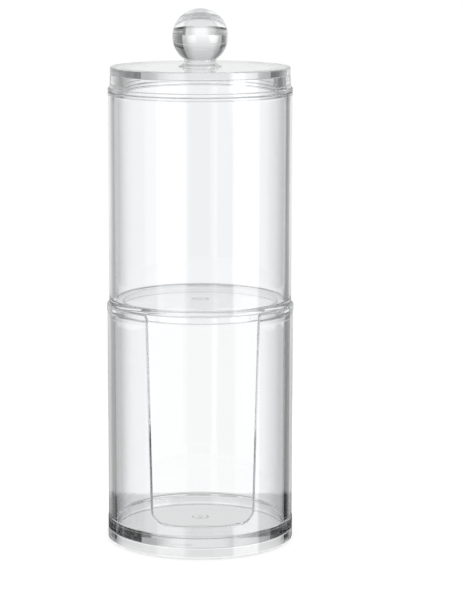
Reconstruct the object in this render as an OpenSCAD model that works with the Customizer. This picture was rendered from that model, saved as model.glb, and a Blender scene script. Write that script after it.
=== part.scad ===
// Clear acrylic storage jar in two tiers: a lower jar with a dispensing window, an upper jar
// that stands on its rim, and a lid with a ball knob.
// Each tier rests by a shoulder on the rim below it, and a shallow spigot under the shoulder
// drops into that rim's mouth and keeps the stack in line.
// The jar stands on z = 0 with its axis on z, and the window faces -y. Lengths are millimetres.

/* [Jars] */
// Outside diameter of the lower jar
jar_d = 70; // [64:1:80]
// Height of the lower jar from foot to rim
lower_h = 90.2; // [76:0.1:110]
// Height of the upper jar from shoulder to rim
upper_h = 79.5; // [50:0.1:110]
// Wall thickness of the lower jar at its rim
lower_wall = 3; // [2.4:0.1:3.6]
// Wall thickness of the upper jar
upper_wall = 2.1; // [1.8:0.1:2.4]
// Height of the bead round the lower jar's rim
lower_bead_h = 2.5; // [1.5:0.1:4]
// Height of the bead round the upper jar's rim
upper_bead_h = 1.2; // [0.6:0.1:2]
// How far the beads and the band round the lower jar's floor stand proud of the walls
bead_proud = 0.2; // [0.1:0.05:0.4]

/* [Floors] */
// Depth of the hollow below the lower jar's floor
foot_h = 4; // [2.5:0.1:5]
// Thickness of the lower jar's floor
lower_floor_t = 4.1; // [2:0.1:4.5]
// Thickness of the foot ring at the ground
foot_t = 2.8; // [2.2:0.1:4]
// Thickness of the upper jar's floor
upper_floor_t = 2.3; // [1.6:0.1:3.5]
// How far the upper jar's floor hangs below its shoulder
floor_drop = 0.5; // [0.2:0.1:1]
// Diameter of the gate dimple under each floor
gate_d = 6.3; // [4:0.1:9]
// Depth of the gate dimple
gate_depth = 0.6; // [0.3:0.1:0.8]
// Diameter of the gate's stub in the dimple
gate_stub_d = 1.8; // [1:0.1:2.4]

/* [Spigots] */
// Depth of the spigot under the upper jar
upper_spigot_h = 3; // [2:0.1:5]
// Depth of the spigot under the lid
lid_spigot_h = 1.5; // [1:0.1:5]
// Wall thickness of the spigots
spigot_t = 2.9; // [1.8:0.1:3.4]
// Gap all round between a spigot and the mouth it drops into
fit_gap = 0.2; // [0.1:0.05:0.4]

/* [Window] */
// Width of the dispensing window just below the rim
window_top_w = 40; // [34:0.5:44]
// Width of the window just above its round lower corners
window_sill_w = 36.6; // [30:0.1:44]
// Height of the sill above the ground
sill_h = 12.5; // [11:0.1:30]
// Radius of the window's two lower corners
sill_r = 4.5; // [1:0.1:8]
// Radius that eases the wall's corners where the window opens at the rim
flare_r = 1.7; // [0.5:0.1:3]

/* [Lid] */
// Height of the lid above its seat
lid_h = 9; // [7:0.1:14]
// Thickness of the lid's top
lid_top_t = 3; // [2:0.1:4]
// Height of the flange round the lid's seat
flange_h = 1.4; // [1:0.1:2]
// How far the lid's side stands in from the wall of the jar below it
lid_inset = 0.5; // [0.3:0.1:0.8]
// How much more it has leant in at the lid's top
lid_draft = 0.2; // [0:0.1:0.5]

/* [Knob] */
// Diameter of the ball
ball_d = 20.6; // [16:0.1:26]
// Height of the knob above the lid
knob_h = 21.3; // [21:0.1:28]
// Diameter of the knob's foot on the lid
knob_foot_d = 16; // [15:0.5:20]
// Thickness of the knob's foot at its edge
knob_foot_t = 0.3; // [0.2:0.1:0.6]
// Radius of the hollow curve from the foot up to the neck
neck_r = 2; // [1:0.1:2.2]

/* [Edges] */
// Radius of the inside corners at the floors
floor_fillet = 1; // [0.5:0.1:1.5]
// Radius of the outer edge of the foot
foot_round = 1; // [0.4:0.1:1.4]
// Radius of the rims and of the shoulder and lid edges
edge_round = 0.4; // [0.2:0.1:0.5]

/* [Hidden] */
$fn = 144;
// How far a cut runs past the face it opens
past = 1;

lower_r = jar_d / 2;
mouth_r = lower_r - lower_wall;
upper_r = mouth_r + upper_wall;
flange_r = upper_r + bead_proud;
spigot_r = mouth_r - fit_gap;
spigot_bore_r = spigot_r - spigot_t;
foot_bore_r = lower_r - foot_t;

lower_floor_z = foot_h + lower_floor_t;
upper_floor_z = upper_floor_t - floor_drop;
lid_z = lower_h + upper_h;
knob_z = lid_z + lid_h;

// The space between a square corner and the round of radius r inside it. The corner is at
// the origin, and quarter 0 opens to +x +y, 1 to -x +y, 2 to -x -y and 3 to +x -y.
// Taken from a solid it rounds an edge, and left standing in a cut it fills a corner.
module corner(r, quarter) {
    rotate(90 * quarter)
        difference() {
            translate([-past / 2, -past / 2]) square(r + past / 2);
            translate([r, r]) circle(r);
        }
}

// Half section of the gate dimple in the underside of a floor, which is at height 0: a flat
// recess with a drafted wall, and the stub of the gate standing in its middle
module gate_dimple() {
    dimple_r = gate_d / 2;
    stub_r = gate_stub_d / 2;
    stub_z = gate_depth / 3;
    polygon([
        [0, -past],
        [dimple_r, -past],
        [dimple_r, 0],
        [dimple_r - gate_depth / 2, gate_depth],
        [stub_r, gate_depth],
        [stub_r, stub_z],
        [0, stub_z]
    ]);
}

// Half section of the lower jar: wall, rim bead, floor and the band round it, and foot ring
module lower_section() {
    difference() {
        union() {
            square([lower_r - bead_proud, lower_h]);
            square([lower_r, lower_floor_z]);
            translate([0, lower_h - lower_bead_h]) square([lower_r, lower_bead_h]);
        }
        difference() {
            translate([0, lower_floor_z]) square([mouth_r, lower_h]);
            translate([mouth_r, lower_floor_z]) corner(floor_fillet, 1);
        }
        translate([0, -past]) square([foot_bore_r, foot_h + past]);
        translate([0, foot_h]) gate_dimple();
        translate([lower_r, 0]) corner(foot_round, 1);
        translate([foot_bore_r, 0]) corner(edge_round, 0);
        translate([lower_r, lower_h]) corner(edge_round, 2);
        translate([mouth_r, lower_h]) corner(edge_round, 3);
    }
}

// Outline of the window seen from the front: round lower corners, sides that lean apart
// upwards, and a mouth at the rim that two quarter rounds open out
module window_outline() {
    sill_x = window_sill_w / 2;
    top_x = window_top_w / 2;
    side_z = sill_h + sill_r;
    flare_z = lower_h - flare_r;
    translate([sill_r - sill_x, sill_h]) square([2 * (sill_x - sill_r), sill_r]);
    for (side = [-1, 1]) translate([side * (sill_x - sill_r), side_z]) circle(sill_r);
    polygon([[-sill_x, side_z], [sill_x, side_z], [top_x, flare_z], [-top_x, flare_z]]);
    difference() {
        translate([-top_x - flare_r, flare_z]) square([2 * (top_x + flare_r), flare_r + past]);
        for (side = [-1, 1]) translate([side * (top_x + flare_r), flare_z]) circle(flare_r);
    }
}

module lower_jar() {
    color([0.9, 0.93, 0.94, 0.5])
        difference() {
            rotate_extrude() lower_section();
            rotate([90, 0, 0]) linear_extrude(height = lower_r + past) window_outline();
        }
}

// Half section of the upper jar, with its shoulder at height 0: wall and rim bead, floor,
// and the spigot ring below the shoulder
module upper_section() {
    difference() {
        union() {
            square([upper_r, upper_h]);
            translate([0, upper_h - upper_bead_h]) square([flange_r, upper_bead_h]);
            translate([0, -upper_spigot_h]) square([spigot_r, upper_spigot_h + past]);
        }
        difference() {
            translate([0, upper_floor_z]) square([mouth_r, upper_h]);
            translate([mouth_r, upper_floor_z]) corner(floor_fillet, 1);
        }
        translate([0, -upper_spigot_h - past])
            square([spigot_bore_r, upper_spigot_h + past - floor_drop]);
        translate([0, -floor_drop]) gate_dimple();
        translate([upper_r, 0]) corner(edge_round, 1);
        translate([spigot_r, -upper_spigot_h]) corner(edge_round, 1);
        translate([flange_r, upper_h]) corner(edge_round, 2);
        translate([mouth_r, upper_h]) corner(edge_round, 3);
    }
}

module upper_jar() {
    color([0.9, 0.93, 0.94, 0.5])
        translate([0, 0, lower_h]) rotate_extrude() upper_section();
}

// Half section of the lid, with its seat at height 0: a flange on the seat, a drafted side, a
// flat top, and a spigot ring whose bore runs up to the underside of the top
module lid_section() {
    side_r = upper_r - lid_inset;
    top_r = side_r - lid_draft;
    side_h = lid_h - lid_top_t;
    difference() {
        polygon([
            [0, -lid_spigot_h],
            [spigot_r, -lid_spigot_h],
            [spigot_r, 0],
            [flange_r, 0],
            [flange_r, flange_h],
            [side_r, flange_h],
            [top_r, side_h],
            [top_r, lid_h],
            [0, lid_h]
        ]);
        translate([0, -lid_spigot_h - past]) square([spigot_bore_r, lid_spigot_h + past + side_h]);
        translate([spigot_r, -lid_spigot_h]) corner(edge_round, 1);
        translate([flange_r, 0]) corner(edge_round, 1);
        translate([flange_r, flange_h]) corner(edge_round, 2);
        translate([top_r, lid_h]) corner(edge_round, 2);
    }
}

module lid() {
    color([0.9, 0.93, 0.94, 0.5])
        translate([0, 0, lid_z]) rotate_extrude() lid_section();
}

// Half section of the knob, with its foot at height 0: a ball on a short neck that flares
// in a hollow curve to a thin round foot
module knob_section() {
    foot_r = knob_foot_d / 2;
    ball_z = knob_h - ball_d / 2;
    difference() {
        square([foot_r, ball_z]);
        translate([foot_r, knob_foot_t + neck_r]) circle(neck_r);
        translate([foot_r - neck_r, knob_foot_t + neck_r]) square([foot_r, ball_z]);
    }
    intersection() {
        translate([0, ball_z]) circle(ball_d / 2);
        square([ball_d, knob_h]);
    }
}

module ball_knob() {
    color([0.92, 0.95, 0.96, 0.6])
        translate([0, 0, knob_z]) rotate_extrude() knob_section();
}

lower_jar();
upper_jar();
lid();
ball_knob();
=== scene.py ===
"""Looks of a clear acrylic storage jar in two tiers, with a lid and a ball knob.

Every surface is worked out with numpy from a section or an outline in millimetres, and is
brought to metres when its mesh is made. The jar's axis is z and its window faces -y.
"""
import math

import bmesh
import bpy
import numpy as np
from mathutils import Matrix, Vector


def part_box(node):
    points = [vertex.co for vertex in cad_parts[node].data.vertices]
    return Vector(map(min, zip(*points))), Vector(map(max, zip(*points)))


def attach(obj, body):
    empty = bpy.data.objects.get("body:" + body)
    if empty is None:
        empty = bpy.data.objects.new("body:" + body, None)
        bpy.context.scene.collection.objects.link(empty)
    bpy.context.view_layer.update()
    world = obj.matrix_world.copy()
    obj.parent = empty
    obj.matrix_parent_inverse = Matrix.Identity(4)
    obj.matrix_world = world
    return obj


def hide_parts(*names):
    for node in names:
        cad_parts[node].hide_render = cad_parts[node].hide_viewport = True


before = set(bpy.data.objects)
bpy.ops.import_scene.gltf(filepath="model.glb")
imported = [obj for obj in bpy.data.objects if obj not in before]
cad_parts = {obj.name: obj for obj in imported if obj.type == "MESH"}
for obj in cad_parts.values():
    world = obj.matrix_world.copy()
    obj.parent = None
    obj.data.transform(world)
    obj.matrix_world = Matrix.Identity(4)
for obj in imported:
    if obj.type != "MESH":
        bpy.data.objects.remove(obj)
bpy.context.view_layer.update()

MM = 0.001
# Points round a full turn, and points along each rounded edge
TURN = 288
ROUND_STEPS = 7
# Points along the window's lower corner, its leaning side and the round at its mouth, and steps
# along its sill
CORNER_POINTS = 17
SIDE_POINTS = 26
FLARE_POINTS = 11
SILL_STEPS = 34
# Points along the knob's hollow curve and round its ball
NECK_POINTS = 13
BALL_POINTS = 97
# Distance from the end of a rounded edge to the extra point that keeps the flat beside it flat
SUPPORT = 0.12
# Air left between a rim and the seat that rests on it
CONTACT_GAP = 0.03

# Sizes in millimetres. Those that the frame holds are read from it.
lower_low, lower_high = (np.array(c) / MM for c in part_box("lower_jar"))
upper_low, upper_high = (np.array(c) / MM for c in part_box("upper_jar"))
lid_low, lid_high = (np.array(c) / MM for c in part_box("lid"))
knob_low, knob_high = (np.array(c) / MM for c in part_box("ball_knob"))

# The two tiers' walls, seats, rims and beads
BEAD_PROUD = 0.2
LOWER_WALL = 3.0
UPPER_WALL = 2.1
LOWER_R = float(-lower_low[1])
LOWER_WALL_R = LOWER_R - BEAD_PROUD
LOWER_SEAT = round(float(lower_high[2]), 2)
LOWER_RIM = LOWER_SEAT - CONTACT_GAP
LOWER_BEAD_H = 2.5
MOUTH_R = LOWER_R - LOWER_WALL
UPPER_R = MOUTH_R + UPPER_WALL
UPPER_SEAT = round(float(upper_high[2]), 2)
UPPER_RIM = UPPER_SEAT - CONTACT_GAP
UPPER_BEAD_H = 1.2
FLANGE_R = UPPER_R + BEAD_PROUD

# The foot, the floors, and the gate dimples in their undersides
FOOT_H = 4.0
FOOT_T = 2.8
LOWER_FLOOR = 8.1
UPPER_FLOOR_T = 2.3
FLOOR_DROP = 0.5
UPPER_UNDERSIDE = LOWER_SEAT - FLOOR_DROP
UPPER_FLOOR = UPPER_UNDERSIDE + UPPER_FLOOR_T
GATE_R = 3.15
GATE_DEPTH = 0.6
STUB_R = 0.9

# The spigots and the play round them
FIT_GAP = 0.2
SPIGOT_T = 2.9
SPIGOT_R = MOUTH_R - FIT_GAP
SPIGOT_BORE = SPIGOT_R - SPIGOT_T
UPPER_SPIGOT = round(float(upper_low[2]), 2)
LID_SPIGOT = round(float(lid_low[2]), 2)

# The window: half its width just below the rim and just above its round lower corners, its
# sill's height, the radii at its lower corners and its mouth, and how far its edges are eased
WINDOW_TOP = 20.0
WINDOW_SILL = 18.3
SILL_Z = 12.5
SILL_R = 4.5
FLARE_R = 1.7
WINDOW_EASE = 0.35
# Height below the sill at which the wall's rows begin
SILL_BAND = 1.5
# Height of the smoothed step out to the lower rim's bead, and the rows that follow it
BEAD_STEP = 0.2
BEAD_ROWS = np.array([-0.3, -0.1, -0.05, 0, 0.05, 0.1, 0.3])

# The lid
LID_TOP_T = 3.0
LID_INSET = 0.5
LID_DRAFT = 0.2
LID_TOP = round(float(lid_high[2]), 2)
LID_CEILING = LID_TOP - LID_TOP_T
LID_FLANGE_H = 1.4
LID_SIDE_R = UPPER_R - LID_INSET
LID_TOP_R = LID_SIDE_R - LID_DRAFT

# The knob
BALL_R = round(float(knob_high[0]), 1)
BALL_Z = round(float(knob_high[2]), 2) - BALL_R
KNOB_FOOT_R = 8.0
KNOB_FOOT_T = 0.3
NECK_CURVE = 2.0

# Radii of the inside corners at the floors, the foot's outer edge, the rims, and small steps
FLOOR_ROUND = 0.6
FOOT_ROUND = 1.0
EDGE = 0.4
TINY = 0.15

# The acrylic's faint moulded waviness: how many waves to the metre, how strong and how deep
RIPPLE_SCALE = 90
RIPPLE_STRENGTH = 0.05
RIPPLE_DEPTH = 0.0002
ACRYLIC_IOR = 1.49
DEPTH_DENSITY = 9

# The floor disc: radii of its rings and its height in millimetres, how much it is topped up
# for the eye, and the distances in metres over which it fades out
FLOOR_RINGS = (20.0, 60, 120, 200, 300)
FLOOR_TURN = 96
FLOOR_Z = -0.05
FLOOR_GLOW = 0.56
FLOOR_FADE = (0.29, 0.1)

# The camera: degrees round to the left and down, distance and height in metres, and its lens
CAMERA_TURN = 1.9
CAMERA_PITCH = 9.713
CAMERA_REACH = 0.87
CAMERA_Z = 0.2398
LENS = 140.7
LENS_SHIFT = 0.052

# Light turns many times inside thick clear walls before it leaves them
LIGHT_BOUNCES = 64


# Sections and surfaces

def unit(v):
    """v over its length, along the last axis."""
    return v / np.linalg.norm(v, axis=-1, keepdims=True)


def eased(before, corner, after, radius):
    """The arc that replaces a corner: it touches both legs at radius / tan(half the angle
    between them), and its centre lies on their bisector at radius / sin(half that angle).
    Beyond each end comes one more point on the leg itself."""
    a, b = unit(before - corner), unit(after - corner)
    half = 0.5 * math.acos(float(np.clip(a @ b, -1, 1)))
    reach = radius / math.tan(half)
    centre = corner + unit(a + b) * radius / math.sin(half)
    sweep = math.pi - 2 * half
    start, end = corner + a * reach, corner + b * reach
    t = np.linspace(0, 1, ROUND_STEPS)[:, None]
    from_start, from_end = np.sin((1 - t) * sweep), np.sin(t * sweep)
    turn = ((start - centre) * from_start + (end - centre) * from_end) / math.sin(sweep)
    return np.concatenate([[start + a * SUPPORT], centre + turn, [end + b * SUPPORT]])


def section(corners):
    """A half section as an array of (radius, height) points, from rows of radius, height and
    how far the corner is rounded, 0 for a point that stays as it is."""
    points = np.array([c[:2] for c in corners], float)
    parts = [points[:1]]
    for i in range(1, len(points) - 1):
        rounding = corners[i][2]
        parts.append(eased(*points[i - 1 : i + 2], rounding) if rounding else points[i : i + 1])
    parts.append(points[-1:])
    return np.concatenate(parts)


def arc(radius, centre, start, end, steps):
    """Points at even angles on a circle in the section, the angles in degrees from +radius."""
    a = np.radians(np.linspace(start, end, steps))
    return np.stack([centre[0] + radius * np.cos(a), centre[1] + radius * np.sin(a)], axis=1)


def around(radius, angle, height):
    """Points on circles round z: x is radius times the sine of the angle and y is minus
    radius times its cosine, so that angle 0 is the front."""
    x, y = radius * np.sin(angle), -radius * np.cos(angle)
    return np.stack(np.broadcast_arrays(x, y, height), axis=-1)


class Shell:
    """Vertices and faces gathered from blocks that share the numbers of their seam vertices."""

    def __init__(self):
        self.points, self.faces, self.count = [], [], 0

    def add(self, points):
        """Numbers for an array of points, in the array's own shape."""
        flat = points.reshape(-1, 3)
        self.points.append(flat)
        first, self.count = self.count, self.count + len(flat)
        return np.arange(first, self.count).reshape(points.shape[:-1])

    def grid(self, rows, closed=False):
        """Four-sided faces between neighbours in a two-way table of vertex numbers, and across
        from its last column to its first if it is closed."""
        if closed:
            rows = np.concatenate([rows, rows[:, :1]], axis=1)
        quads = np.stack([rows[:-1, :-1], rows[:-1, 1:], rows[1:, 1:], rows[1:, :-1]], axis=-1)
        self.faces += quads.reshape(-1, 4).tolist()

    def cap(self, ring, height):
        """Three-sided faces from a closed ring of vertices to one point on the axis."""
        middle = np.full(len(ring), self.add(np.array([0.0, 0.0, height])))
        self.faces += np.stack([ring, np.roll(ring, -1), middle], axis=-1).tolist()

    def piece(self, name, material, body, nodes):
        """The mesh object in metres, its faces turned outwards, on its body, with the parts it stands
        for hidden.
        """
        mesh = bpy.data.meshes.new(name)
        mesh.from_pydata((np.concatenate(self.points) * MM).tolist(), [], self.faces)
        skin = bmesh.new()
        skin.from_mesh(mesh)
        bmesh.ops.recalc_face_normals(skin, faces=skin.faces[:])
        skin.to_mesh(mesh)
        skin.free()
        mesh.polygons.foreach_set("use_smooth", np.ones(len(mesh.polygons), bool))
        mesh.materials.append(material)
        piece = bpy.data.objects.new(name, mesh)
        bpy.context.scene.collection.objects.link(piece)
        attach(piece, body)
        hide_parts(*nodes)
        return piece


def gate(underside):
    """Section rows of the gate dimple in a floor's underside, from the axis outwards: the end
    of the gate's stub, the flat of the dimple and its drafted wall."""
    return [
        (0, underside + GATE_DEPTH / 3, 0),
        (STUB_R, underside + GATE_DEPTH / 3, TINY),
        (STUB_R, underside + GATE_DEPTH, TINY),
        (GATE_R - GATE_DEPTH / 2, underside + GATE_DEPTH, 2 * TINY),
        (GATE_R, underside, 2 * TINY),
    ]


def turned(profile):
    """A section that starts and ends on the axis, swept round it at even angles: one ring of
    points for each point of the section between, and a cap at each end."""
    shell = Shell()
    angles = np.linspace(0, 2 * math.pi, TURN, endpoint=False)
    inner = profile[1:-1]
    rings = shell.add(around(inner[:, :1], angles[None, :], inner[:, 1:]))
    shell.grid(rings, closed=True)
    shell.cap(rings[0], profile[0, 1])
    shell.cap(rings[-1], profile[-1, 1])
    return shell


def window_side():
    """The right side of the window as (x, z) points from the sill up to the rim: a quarter
    round, a leaning straight, and the quarter round that opens the mouth out."""
    side_z, flare_z = SILL_Z + SILL_R, LOWER_RIM - FLARE_R
    corner = arc(SILL_R, (WINDOW_SILL - SILL_R, side_z), -90, 0, CORNER_POINTS)
    bead_rows = LOWER_SEAT - LOWER_BEAD_H + BEAD_ROWS
    rise = np.union1d(np.linspace(side_z, flare_z, SIDE_POINTS)[1:-1], bead_rows)
    lean = WINDOW_SILL + (WINDOW_TOP - WINDOW_SILL) * (rise - side_z) / (flare_z - side_z)
    flare = arc(FLARE_R, (WINDOW_TOP + FLARE_R, flare_z), 180, 90, FLARE_POINTS)
    return np.concatenate([corner, np.stack([lean, rise], axis=1), flare])


def outer_radius(height):
    """The lower jar's outside above its floor band: the wall's radius, and out to the rim
    bead's radius a smooth step, which goes as 3 t squared less 2 t cubed over its height."""
    t = np.clip((height - LOWER_SEAT + LOWER_BEAD_H) / BEAD_STEP + 0.5, 0, 1)
    return LOWER_WALL_R + BEAD_PROUD * t * t * (3 - 2 * t)


def mouth_radius(height):
    """The lower jar's inside, the same at every height."""
    return np.full_like(height, MOUTH_R)


def wall_edge(radius, side, n_sill, n_back):
    """The closed edge of the lower jar's wall on the surface of that radius, as angles and
    heights: along the sill, up the right side of the window, round the rim at the back and
    down the left side. A point of the window at x lies at the angle whose sine is x / radius."""
    side_angle = np.arcsin(side[:, 0] / radius(side[:, 1]))
    sill = np.linspace(-side_angle[0], side_angle[0], n_sill + 1)
    back = np.linspace(side_angle[-1], 2 * math.pi - side_angle[-1], n_back + 1)[1:-1]
    angle = np.concatenate([sill, side_angle[1:], back, 2 * math.pi - side_angle[:0:-1]])
    sill_z, rim_z = np.full(len(sill), SILL_Z), np.full(len(back), LOWER_RIM)
    return angle, np.concatenate([sill_z, side[1:, 1], rim_z, side[:0:-1, 1]])


def set_back(radius, angle, height, amount):
    """The same closed edge moved into the wall by amount along the cylinder: in the unrolled
    wall each point moves at right angles to the mean direction of the edge on its two sides."""
    turn = (np.roll(angle, -1) - angle + math.pi) % (2 * math.pi) - math.pi
    forward = unit(np.stack([radius(height) * turn, np.roll(height, -1) - height], axis=1))
    along = unit(forward + np.roll(forward, 1, axis=0))
    return angle + amount * along[:, 1] / radius(height), height - amount * along[:, 0]


def wall_sheet(shell, radius, edge, profile, n_sill, n_back, n_side):
    """One face of the wall with the floor that joins it. Up to the sill it is a stack of full
    rings along the profile, and above the sill come rows of even steps from the window's
    right side round the back to its left side. Gives the numbers of the vertices on its edge,
    in the edge's own order."""
    angle, height = edge
    right = slice(n_sill, n_sill + n_side + 1)
    start, row_z = angle[right, None], height[right, None]
    share = np.linspace(0, 1, n_back + 1)
    rows = start * (1 - share) + (2 * math.pi - start) * share
    ring_angle = np.concatenate([angle[: n_sill + 1], rows[0, 1:-1]])
    ring_z = np.concatenate([height[: n_sill + 1], np.full(n_back - 1, height[n_sill])])
    top = shell.add(around(radius(ring_z), ring_angle, ring_z))
    rings = shell.add(around(profile[1:, :1], ring_angle, profile[1:, 1:]))
    shell.grid(np.concatenate([rings, top[None]]), closed=True)
    shell.cap(rings[0], profile[0, 1])
    back = shell.add(around(radius(row_z[1:]), rows[1:], row_z[1:]))
    shell.grid(np.concatenate([np.append(top[n_sill:], top[0])[None], back]))
    return np.concatenate([top[: n_sill + 1], back[:, 0], back[-1, 1:-1], back[::-1, -1]])


def lower_jar(material):
    """Two sheets, one on each face of the wall, end a little short of the true edge. Between
    them runs a strip: a Bezier round from the outer sheet whose middle control point is the
    true corner, the flat land along the straight line through the wall, and a second round."""
    side = window_side()
    n_side, n_sill = len(side) - 1, SILL_STEPS
    n_back = TURN - n_sill
    under = section(
        gate(FOOT_H)
        + [
            (LOWER_R - FOOT_T, FOOT_H, EDGE),
            (LOWER_R - FOOT_T, 0, EDGE),
            (LOWER_R, 0, FOOT_ROUND),
            (LOWER_R, LOWER_FLOOR, TINY / 2),
            (LOWER_WALL_R, LOWER_FLOOR, TINY / 2),
            (LOWER_WALL_R, SILL_Z - SILL_BAND, 0),
        ]
    )
    inside = section(
        [(0, LOWER_FLOOR, 0), (MOUTH_R, LOWER_FLOOR, FLOOR_ROUND), (MOUTH_R, SILL_Z - SILL_BAND, 0)]
    )
    shell = Shell()
    corners, seams = [], []
    for radius, profile in ((outer_radius, under), (mouth_radius, inside)):
        edge = wall_edge(radius, side, n_sill, n_back)
        corners.append(around(radius(edge[1]), *edge))
        eased_edge = set_back(radius, *edge, WINDOW_EASE)
        seams.append(wall_sheet(shell, radius, eased_edge, profile, n_sill, n_back, n_side))
    points = np.concatenate(shell.points)
    across = unit(corners[1] - corners[0])
    t = np.linspace(0, 1, ROUND_STEPS)[1:, None, None]
    strips = []
    for seam, corner, into in zip(seams, corners, (across, -across)):
        land = corner + into * WINDOW_EASE
        curve = (1 - t) ** 2 * points[seam] + 2 * t * (1 - t) * corner + t**2 * land
        strips.append(shell.add(np.concatenate([curve, (land + into * SUPPORT)[None]])))
    strip = np.concatenate([seams[0][None], strips[0], strips[1][::-1], seams[1][None]])
    shell.grid(strip, closed=True)
    return shell.piece("lower_jar_clear", material, "lower_jar", ["lower_jar"])


def upper_jar(material):
    """The upper jar's section turned round the axis: underside, spigot, shoulder, wall, rim
    bead, and back down the inside to the floor."""
    profile = section(
        gate(UPPER_UNDERSIDE)
        + [
            (SPIGOT_BORE, UPPER_UNDERSIDE, EDGE),
            (SPIGOT_BORE, UPPER_SPIGOT, EDGE),
            (SPIGOT_R, UPPER_SPIGOT, EDGE),
            (SPIGOT_R, LOWER_SEAT, TINY),
            (UPPER_R, LOWER_SEAT, EDGE),
            (UPPER_R, UPPER_SEAT - UPPER_BEAD_H, TINY / 2),
            (FLANGE_R, UPPER_SEAT - UPPER_BEAD_H, TINY / 2),
            (FLANGE_R, UPPER_RIM, EDGE),
            (MOUTH_R, UPPER_RIM, EDGE),
            (MOUTH_R, UPPER_FLOOR, FLOOR_ROUND),
            (0, UPPER_FLOOR, 0),
        ]
    )
    return turned(profile).piece("upper_jar_clear", material, "upper_jar", ["upper_jar"])


def lid_with_knob(material):
    """The lid's section from the axis under its top, round the spigot and the drafted side, and
    on over the knob: foot, hollow curve, neck and the circle of the ball up to its pole."""
    lid = section(
        [
            (0, LID_CEILING, 0),
            (SPIGOT_BORE, LID_CEILING, EDGE),
            (SPIGOT_BORE, LID_SPIGOT, EDGE),
            (SPIGOT_R, LID_SPIGOT, EDGE),
            (SPIGOT_R, UPPER_SEAT, TINY),
            (FLANGE_R, UPPER_SEAT, EDGE),
            (FLANGE_R, UPPER_SEAT + LID_FLANGE_H, EDGE),
            (LID_SIDE_R, UPPER_SEAT + LID_FLANGE_H, TINY),
            (LID_TOP_R, LID_CEILING, EDGE),
            (LID_TOP_R, LID_TOP, EDGE),
            (KNOB_FOOT_R, LID_TOP, TINY),
            (KNOB_FOOT_R, LID_TOP + KNOB_FOOT_T, 0),
        ]
    )
    neck_z = LID_TOP + KNOB_FOOT_T + NECK_CURVE
    curve = arc(NECK_CURVE, (KNOB_FOOT_R, neck_z), -90, -180, NECK_POINTS)
    neck_r = KNOB_FOOT_R - NECK_CURVE
    neck_angle = -math.degrees(math.acos(neck_r / BALL_R))
    ball = arc(BALL_R, (0, BALL_Z), neck_angle, 90, BALL_POINTS)
    ball[-1, 0] = 0
    profile = np.concatenate([lid, curve[1:], ball])
    return turned(profile).piece("lid_with_knob_clear", material, "lid", ["lid", "ball_knob"])


# Materials

def node(tree, kind, **settings):
    """A new node with its settings."""
    made = tree.nodes.new(kind)
    for name, value in settings.items():
        setattr(made, name, value)
    return made


def maths(tree, operation, a, b=None, c=None):
    """A Math node fed by numbers or sockets, and its output."""
    made = node(tree, "ShaderNodeMath", operation=operation)
    for socket, value in zip(made.inputs, (a, b, c)):
        if value is None:
            continue
        if isinstance(value, bpy.types.NodeSocket):
            tree.links.new(value, socket)
        else:
            socket.default_value = value
    return made.outputs[0]


def acrylic_material():
    """Clear acrylic: a smooth refracting skin, a faint moulded waviness, and a cool absorption
    that only shows through a long way of plastic."""
    material = bpy.data.materials.new("clear_acrylic")
    material.use_nodes = True
    tree = material.node_tree
    skin = tree.nodes["Principled BSDF"]
    skin.inputs["Base Color"].default_value = (0.99, 0.995, 1.0, 1)
    skin.inputs["Roughness"].default_value = 0.0
    skin.inputs["IOR"].default_value = ACRYLIC_IOR
    skin.inputs["Transmission Weight"].default_value = 1.0
    place = node(tree, "ShaderNodeTexCoord")
    ripple = node(tree, "ShaderNodeTexNoise")
    ripple.inputs["Scale"].default_value = RIPPLE_SCALE
    ripple.inputs["Detail"].default_value = 1
    bump = node(tree, "ShaderNodeBump")
    bump.inputs["Strength"].default_value = RIPPLE_STRENGTH
    bump.inputs["Distance"].default_value = RIPPLE_DEPTH
    tree.links.new(place.outputs["Object"], ripple.inputs["Vector"])
    tree.links.new(ripple.outputs["Fac"], bump.inputs["Height"])
    tree.links.new(bump.outputs["Normal"], skin.inputs["Normal"])
    depth = node(tree, "ShaderNodeVolumeAbsorption")
    depth.inputs["Color"].default_value = (0.9, 0.92, 0.93, 1)
    depth.inputs["Density"].default_value = DEPTH_DENSITY
    tree.links.new(depth.outputs[0], tree.nodes["Material Output"].inputs["Volume"])
    return material


# Studio

# Directions are an azimuth in degrees from +y towards +x, and an elevation above the horizon.
# The white room's brightness by elevation: bright below the horizon with a dark line on the
# ground ahead, which the ball throws up under its top, and falling to a grey ceiling above
ROOM = [
    (-90, 0.85), (-58, 0.97), (-51, 0.9), (-48.5, 0.25), (-46.5, 0.1), (-43.5, 0.1),
    (-41.5, 0.45), (-38, 0.72), (-34, 0.85), (-30, 1.0), (-4, 1.0), (0, 0.93), (5, 0.84),
    (10, 0.75), (19, 0.62), (33, 0.55), (90, 0.55),
]
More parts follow.
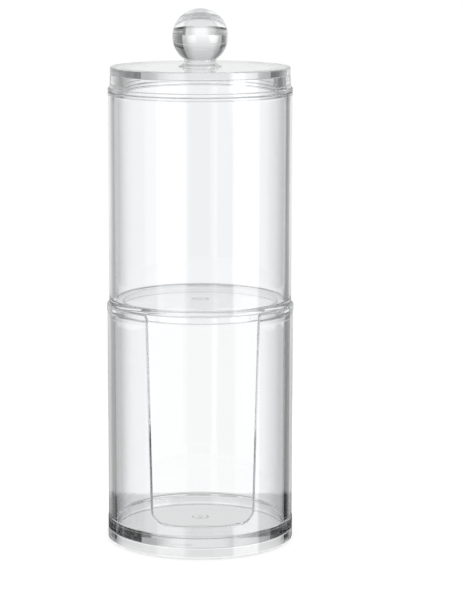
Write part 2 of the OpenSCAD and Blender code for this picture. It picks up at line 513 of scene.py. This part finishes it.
# Shades and dark flags seen through the plastic. Each row is an azimuth, half width and soft
# edge, an elevation, half height and soft edge, and a brightness.
SHADES = [
    # Beside the ball's crescents
    (31, 3, 18, 36, 40.7, 0.3, 0.6),
    (-37, 3, 18, 36, 40.7, 0.3, 0.55),
    # Sides of the walls, right and then left
    (45, 27, 12, -11.5, 6.8, 0.2, 0.7),
    (62, 36.5, 3, -11.5, 6.8, 0.2, 0.3),
    (-38, 24, 10, -11.5, 6.8, 0.2, 0.72),
    (-46, 16, 20, -11.5, 6.8, 0.2, 0.5),
    # The table, and its darker left side
    (2, 30, 0.1, -52.43, 38, 0.06, 0.78),
    (-46, 16, 20, -16.35, 1.9, 0.06, 0.5),
    # Ends of the lid's top, and the ball's crescents
    (66, 35.5, 0.3, 20, 24.6, 0.3, 0.33),
    (-49, 13, 0.3, 20, 24.6, 0.3, 0.36),
    # Dark ends of the lower floor, straight through it and thrown back by its faces
    (66, 35.5, 0.3, -16.35, 1.9, 0.15, 0.03),
    (-68, 32, 0.3, -16.35, 1.9, 0.15, 0.03),
    (66, 35.5, 0.4, 16.35, 1.9, 0.4, 0.05),
    (-49, 13, 0.4, 16.35, 1.9, 0.4, 0.05),
    # A soft line below the ball's top
    (2, 30, 1.5, -32.5, 2, 1.5, 0.6),
    # Flags that give the clear plastic its lines from the sides and from behind
    (-96, 12, 1.5, -29, 9, 1.5, 0.3),
    (-142, 12, 1.5, -4, 10, 1.5, 0.2),
    (180, 15, 1.5, -14, 9, 1.5, 0.2),
    (84, 12, 1.5, -24, 5, 1.5, 0.3),
]
# Lit strips beside the flags, which the solid rings at the seats bend into sight, and two that
# the floors throw back
STRIPS = [
    (75, 45, 0.1, -9.87, 0.17, 0.08, 1.0),
    (75, 45, 0.1, 9.87, 0.17, 0.08, 0.9),
    (-75, 45, 0.1, -9.87, 0.17, 0.08, 1.0),
    (-75, 45, 0.1, 9.87, 0.17, 0.08, 0.9),
    (80, 33, 0.5, -9.87, 0.5, 0.1, 1.0),
    (-80, 33, 0.5, -9.87, 0.5, 0.1, 1.0),
    (80, 33, 0.5, -4.7, 0.13, 0.06, 1.0),
    (80, 33, 0.5, 4.7, 0.13, 0.06, 1.0),
    (-80, 33, 0.5, -4.7, 0.13, 0.06, 1.0),
    (2, 60, 3, 10.05, 0.1, 0.06, 0.97),
    (2, 8, 22, 15.57, 0.15, 0.06, 0.85),
]
# Soft boxes seen in its gloss, with how much brighter each is than the dim side of the room
BOXES = [
    # The white wall behind
    (0, 50, 3.5, 7, 14, 5, 0.5),
    # One on each side of the camera, and a small one for the ball
    (-141, 14, 8, -18, 20, 8, 2.4),
    (122, 15, 6, -12, 12, 6, 3.6),
    (134, 8, 5, 2, 5, 3, 5.0),
    # Overhead, and high behind the camera
    (0, 180, 15, 90, 30, 15, 1.0),
    (180, 70, 15, 36, 14, 6, 1.2),
    # The table's far edge, which takes light away
    (0, 60, 5, -16.35, 1.9, 0.15, -0.25),
    # Two high ones ahead and one low one, for the rounded edges
    (-31, 8, 6, 38, 16, 6, 1.5),
    (31, 8, 6, 38, 16, 6, 1.5),
    (0, 38, 8, -42, 20, 4, 1.5),
]
DIM_SIDE = 0.3
# Degrees below and above the horizon between which the gloss goes over to the room
HORIZON_FADE = (-1, 2)
# Fine streaks of light in the flags
STREAK_SCALE = 14
STREAK_DETAIL = 3
STREAK_POWER = 6
STREAK_LEVEL = 1.2
# The even light on rough surfaces
EVEN_LIGHT = 0.6
PANEL_INPUTS = (
    "Panel Azimuth", "Half Width", "Side Edge", "Panel Elevation", "Half Height", "End Edge", "Level",
)


def soft_panel_group():
    """A level for a rectangle of directions: Level inside it and Surround outside, with smooth
    edges of so many degrees at its sides and at its ends."""
    group = bpy.data.node_groups.new("soft_panel", "ShaderNodeTree")
    for name in ("Azimuth", "Elevation") + PANEL_INPUTS + ("Surround",):
        group.interface.new_socket(name, in_out="INPUT", socket_type="NodeSocketFloat")
    group.interface.new_socket("Level", in_out="OUTPUT", socket_type="NodeSocketFloat")
    given = node(group, "NodeGroupInput").outputs

    def inside(distance, half, edge):
        """1 up to half from the panel's middle, then falling smoothly to 0 over its edge."""
        ramp = node(group, "ShaderNodeMapRange", interpolation_type="SMOOTHSTEP")
        group.links.new(maths(group, "ABSOLUTE", distance), ramp.inputs["Value"])
        group.links.new(maths(group, "ADD", given[half], given[edge]), ramp.inputs["From Min"])
        group.links.new(given[half], ramp.inputs["From Max"])
        return ramp.outputs["Result"]

    turn = maths(group, "SUBTRACT", given["Azimuth"], given["Panel Azimuth"])
    turn = maths(group, "WRAP", turn, 180, -180)
    rise = maths(group, "SUBTRACT", given["Elevation"], given["Panel Elevation"])
    across = inside(turn, "Half Width", "Side Edge")
    up = inside(rise, "Half Height", "End Edge")
    step = maths(group, "SUBTRACT", given["Level"], given["Surround"])
    within = maths(group, "MULTIPLY", across, up)
    level = maths(group, "MULTIPLY_ADD", within, step, given["Surround"])
    group.links.new(level, node(group, "NodeGroupOutput").inputs["Level"])
    return group


def panels(tree, group, direction, rows, surround, combine):
    """The levels of several panels at each direction, combined one after another."""
    total = None
    for row in rows:
        panel = node(tree, "ShaderNodeGroup", node_tree=group)
        for name, socket in zip(("Azimuth", "Elevation"), direction):
            tree.links.new(socket, panel.inputs[name])
        for name, value in zip(PANEL_INPUTS, row):
            panel.inputs[name].default_value = value
        panel.inputs["Surround"].default_value = surround
        level = panel.outputs["Level"]
        total = level if total is None else maths(tree, combine, total, level)
    return total


def room_level(tree, elevation):
    """The room's brightness at an elevation, in straight steps between the rows of ROOM."""
    ramp = node(tree, "ShaderNodeValToRGB")
    tree.links.new(maths(tree, "MULTIPLY_ADD", elevation, 1 / 180, 0.5), ramp.inputs["Fac"])
    stops = ramp.color_ramp.elements
    stops.remove(stops[-1])
    for i, (degrees, level) in enumerate(ROOM):
        stop = stops[0] if i == 0 else stops.new(degrees / 180 + 0.5)
        stop.position = degrees / 180 + 0.5
        stop.color = (level, level, level, 1)
    return ramp.outputs["Color"]


def choose(tree, mask, if_set, otherwise):
    """if_set where the mask is 1 and otherwise where it is 0. Both may be sockets or numbers."""
    mix = node(tree, "ShaderNodeMix")
    tree.links.new(mask, mix.inputs["Factor"])
    for socket, value in ((mix.inputs["A"], otherwise), (mix.inputs["B"], if_set)):
        if isinstance(value, bpy.types.NodeSocket):
            tree.links.new(value, socket)
        else:
            socket.default_value = value
    return mix.outputs["Result"]


def studio_world():
    """White all round to the eye. Through the plastic the room shows its shades and flags, with
    fine streaks where they are dark and the lit strips over them. Its gloss shows the soft boxes
    on a dim side, or above the horizon the room where that is brighter. Rough surfaces get a
    plain even light."""
    world = bpy.data.worlds.new("studio")
    bpy.context.scene.world = world
    world.use_nodes = True
    tree = world.node_tree
    group = soft_panel_group()
    way = node(tree, "ShaderNodeSeparateXYZ")
    tree.links.new(node(tree, "ShaderNodeTexCoord").outputs["Generated"], way.inputs[0])
    x, y, z = way.outputs
    azimuth = maths(tree, "DEGREES", maths(tree, "ARCTAN2", x, y))
    elevation = maths(tree, "DEGREES", maths(tree, "ARCSINE", z))
    direction = (azimuth, elevation)
    room = room_level(tree, elevation)
    shade = panels(tree, group, direction, SHADES, 1, "MULTIPLY")
    streaks = node(tree, "ShaderNodeTexNoise")
    streaks.inputs["Scale"].default_value = STREAK_SCALE
    streaks.inputs["Detail"].default_value = STREAK_DETAIL
    glow = maths(tree, "POWER", streaks.outputs["Fac"], STREAK_POWER)
    glow = maths(tree, "MULTIPLY", glow, STREAK_LEVEL)
    through = maths(tree, "MULTIPLY", room, shade)
    through = maths(tree, "MULTIPLY_ADD", maths(tree, "SUBTRACT", 1, shade), glow, through)
    strips = panels(tree, group, direction, STRIPS, 0, "MAXIMUM")
    through = maths(tree, "MAXIMUM", through, strips)
    boxes = maths(tree, "ADD", panels(tree, group, direction, BOXES, 0, "ADD"), DIM_SIDE)
    above = node(tree, "ShaderNodeMapRange")
    tree.links.new(elevation, above.inputs["Value"])
    above.inputs["From Min"].default_value = HORIZON_FADE[0]
    above.inputs["From Max"].default_value = HORIZON_FADE[1]
    gloss = maths(tree, "MAXIMUM", boxes, maths(tree, "MULTIPLY", room, above.outputs["Result"]))
    path = node(tree, "ShaderNodeLightPath").outputs
    rough = maths(tree, "GREATER_THAN", path["Diffuse Depth"], 0.5)
    level = choose(tree, path["Is Transmission Ray"], through, gloss)
    level = choose(tree, rough, EVEN_LIGHT, level)
    level = choose(tree, path["Is Camera Ray"], 1.0, level)
    tree.links.new(level, tree.nodes["Background"].inputs["Strength"])
    tree.nodes["Background"].inputs["Color"].default_value = (1, 1, 1, 1)


def floor():
    """A pale disc under the jar: centre point, then rings of points out to its rim."""
    shell = Shell()
    angles = np.linspace(0, 2 * math.pi, FLOOR_TURN, endpoint=False)
    radii = np.array(FLOOR_RINGS)[:, None]
    rings = shell.add(around(radii, angles, np.full_like(radii, FLOOR_Z)))
    shell.grid(rings, closed=True)
    shell.cap(rings[0], FLOOR_Z)
    mesh = bpy.data.meshes.new("floor")
    mesh.from_pydata((np.concatenate(shell.points) * MM).tolist(), [], shell.faces)
    disc = bpy.data.objects.new("floor", mesh)
    bpy.context.scene.collection.objects.link(disc)
    disc.data.materials.append(floor_material())


def floor_material():
    """White to the eye where nothing shades it: a pale matt surface, topped up to white for the
    camera, that fades out towards the rim. Reflected and refracted rays pass it by and meet the
    white room."""
    material = bpy.data.materials.new("pale_floor")
    material.use_nodes = True
    tree = material.node_tree
    tree.nodes.remove(tree.nodes["Principled BSDF"])
    matt = node(tree, "ShaderNodeBsdfDiffuse")
    matt.inputs["Color"].default_value = (0.8, 0.8, 0.8, 1)
    glow = node(tree, "ShaderNodeEmission")
    glow.inputs["Strength"].default_value = FLOOR_GLOW
    both = node(tree, "ShaderNodeAddShader")
    tree.links.new(matt.outputs[0], both.inputs[0])
    tree.links.new(glow.outputs[0], both.inputs[1])
    place = node(tree, "ShaderNodeTexCoord")
    length = node(tree, "ShaderNodeVectorMath", operation="LENGTH")
    tree.links.new(place.outputs["Object"], length.inputs[0])
    fade = node(tree, "ShaderNodeMapRange", interpolation_type="SMOOTHSTEP")
    tree.links.new(length.outputs["Value"], fade.inputs["Value"])
    fade.inputs["From Min"].default_value = FLOOR_FADE[0]
    fade.inputs["From Max"].default_value = FLOOR_FADE[1]
    path = node(tree, "ShaderNodeLightPath").outputs
    seen = maths(tree, "MULTIPLY", path["Is Camera Ray"], fade.outputs["Result"])
    clear = node(tree, "ShaderNodeBsdfTransparent")
    mix = node(tree, "ShaderNodeMixShader")
    tree.links.new(seen, mix.inputs["Fac"])
    tree.links.new(clear.outputs[0], mix.inputs[1])
    tree.links.new(both.outputs[0], mix.inputs[2])
    tree.links.new(mix.outputs[0], tree.nodes["Material Output"].inputs["Surface"])
    return material


def camera():
    """A long lens a little above the jar, pitched down and stood a little round to the left of
    its front."""
    lens = bpy.data.cameras.new("camera")
    turn = math.radians(CAMERA_TURN)
    lens.lens = LENS
    lens.shift_x = LENS_SHIFT
    holder = bpy.data.objects.new("camera", lens)
    holder.location = (-CAMERA_REACH * math.sin(turn), -CAMERA_REACH * math.cos(turn), CAMERA_Z)
    holder.rotation_euler = (math.radians(90 - CAMERA_PITCH), 0, -turn)
    bpy.context.scene.collection.objects.link(holder)
    bpy.context.scene.camera = holder


def main():
    """The jar's three pieces with their acrylic, and the room, floor and camera round them."""
    scene = bpy.context.scene
    scene.view_settings.view_transform = "Standard"
    scene.cycles.max_bounces = LIGHT_BOUNCES
    scene.cycles.glossy_bounces = LIGHT_BOUNCES
    scene.cycles.transmission_bounces = LIGHT_BOUNCES
    acrylic = acrylic_material()
    lower_jar(acrylic)
    upper_jar(acrylic)
    lid_with_knob(acrylic)
    studio_world()
    floor()
    camera()


main()
